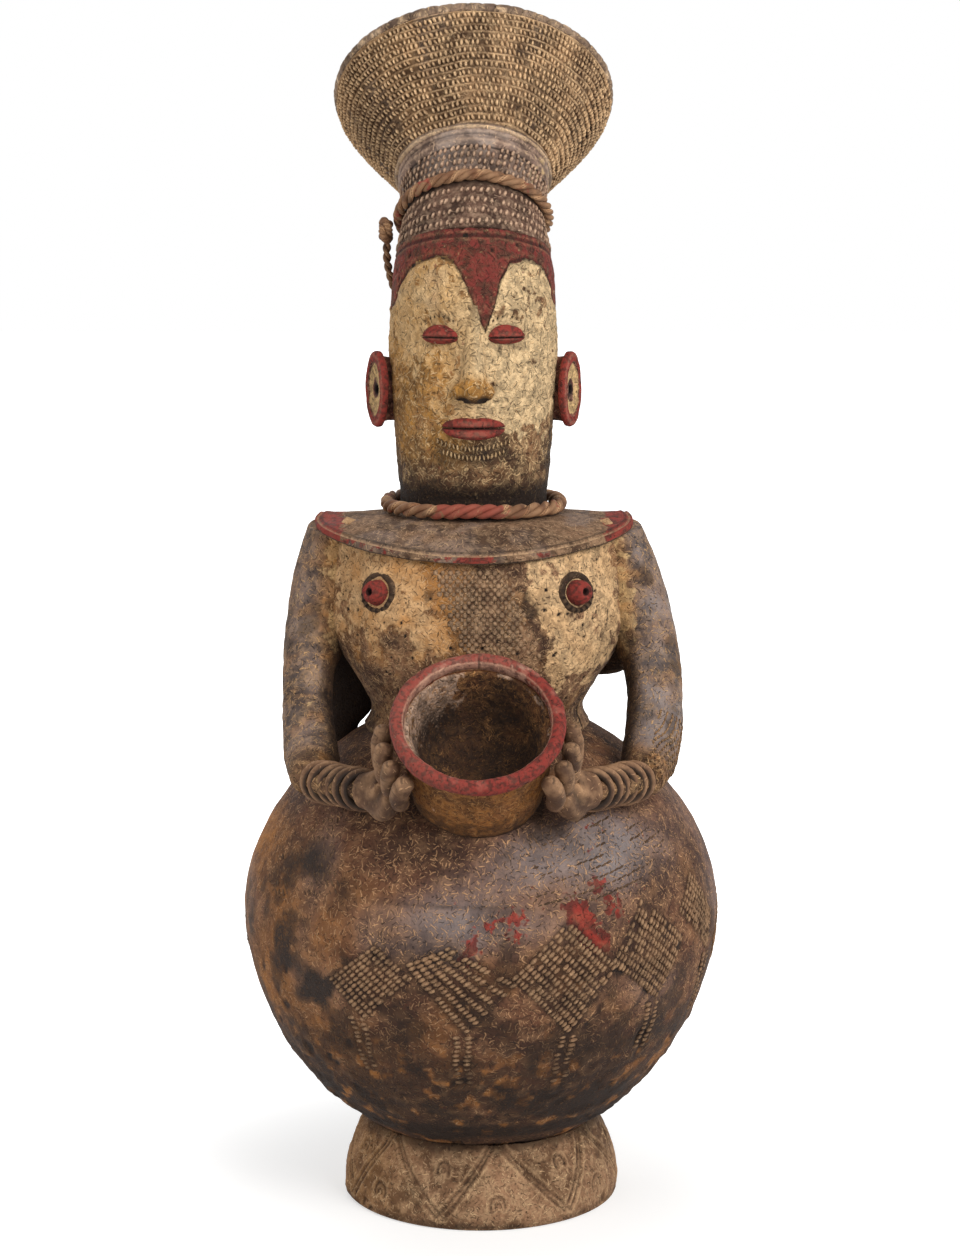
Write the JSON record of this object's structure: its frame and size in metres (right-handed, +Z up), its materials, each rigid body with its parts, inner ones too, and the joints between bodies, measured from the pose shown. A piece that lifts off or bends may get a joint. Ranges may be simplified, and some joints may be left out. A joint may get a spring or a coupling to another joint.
{
  "type": "figural clay jar",
  "caption": "Hollow clay jar: a round belly on a ring foot with a standing figure above it that holds a tilted bowl and opens at the top into a flared, basket-textured mouth.",
  "frame": {"origin": "on the floor, at the middle of the belly and the ring foot", "axes": "+Z up along the jar, the figure faces -Y, and +X is the figure's own left"},
  "size_m": [0.2078, 0.2334, 0.5211],
  "materials": {
    "belly_clay": "burnished dark clay",
    "foot_clay": "dry brown clay",
    "chest_slip": "coarse cream slip",
    "plate_clay": "smoothed dark clay",
    "face_slip": "coarse cream slip with red paint",
    "band_clay": "ticked brown clay",
    "flare_clay": "pitted tan clay",
    "red_paint": "matt red paint",
    "bowl_clay": "dry ochre clay",
    "arm_clay": "burnished dark clay",
    "hand_clay": "dry brown clay",
    "fibre": "twisted plant fibre"
  },
  "bodies": {
    "jar": {"foot_ring": "foot_clay", "belly": "belly_clay", "torso": "chest_slip", "shoulder_plate": "plate_clay", "head": "face_slip", "headband": "band_clay", "coiffure_flare": "flare_clay", "coiffure_rim": "flare_clay", "nose": "face_slip", "upper_lip": "red_paint", "lower_lip": "red_paint", "head_cord": "fibre", "head_cord_knot": "fibre", "head_cord_tail": "fibre", "bowl": "bowl_clay", "bowl_rim": "red_paint", "upper_eyelid_left": "red_paint", "lower_eyelid_left": "red_paint", "ear_left": "red_paint", "nipple_left": "red_paint", "nipple_collar_left": "hand_clay", "arm_left": "arm_clay", "bangle_left_1": "hand_clay", "bangle_left_2": "hand_clay", "bangle_left_3": "hand_clay", "bangle_left_4": "hand_clay", "bangle_left_5": "hand_clay", "bangle_left_6": "hand_clay", "palm_left": "hand_clay", "index_finger_left": "hand_clay", "middle_finger_left": "hand_clay", "ring_finger_left": "hand_clay", "little_finger_left": "hand_clay", "upper_eyelid_right": "red_paint", "lower_eyelid_right": "red_paint", "ear_right": "red_paint", "nipple_right": "red_paint", "nipple_collar_right": "hand_clay", "arm_right": "arm_clay", "bangle_right_1": "hand_clay", "bangle_right_2": "hand_clay", "bangle_right_3": "hand_clay", "bangle_right_4": "hand_clay", "bangle_right_5": "hand_clay", "bangle_right_6": "hand_clay", "palm_right": "hand_clay", "index_finger_right": "hand_clay", "middle_finger_right": "hand_clay", "ring_finger_right": "hand_clay", "little_finger_right": "hand_clay"},
    "cord_ring": {"neck_cord": "fibre"}
  },
  "joints": [
    {"name": "neck_cord_turn", "type": "hinge", "parent": "jar", "child": "cord_ring", "pos_m": [-0.0032, 0.011, 0.3071], "axis": [0, 0, 1], "continuous": true}
  ]
}
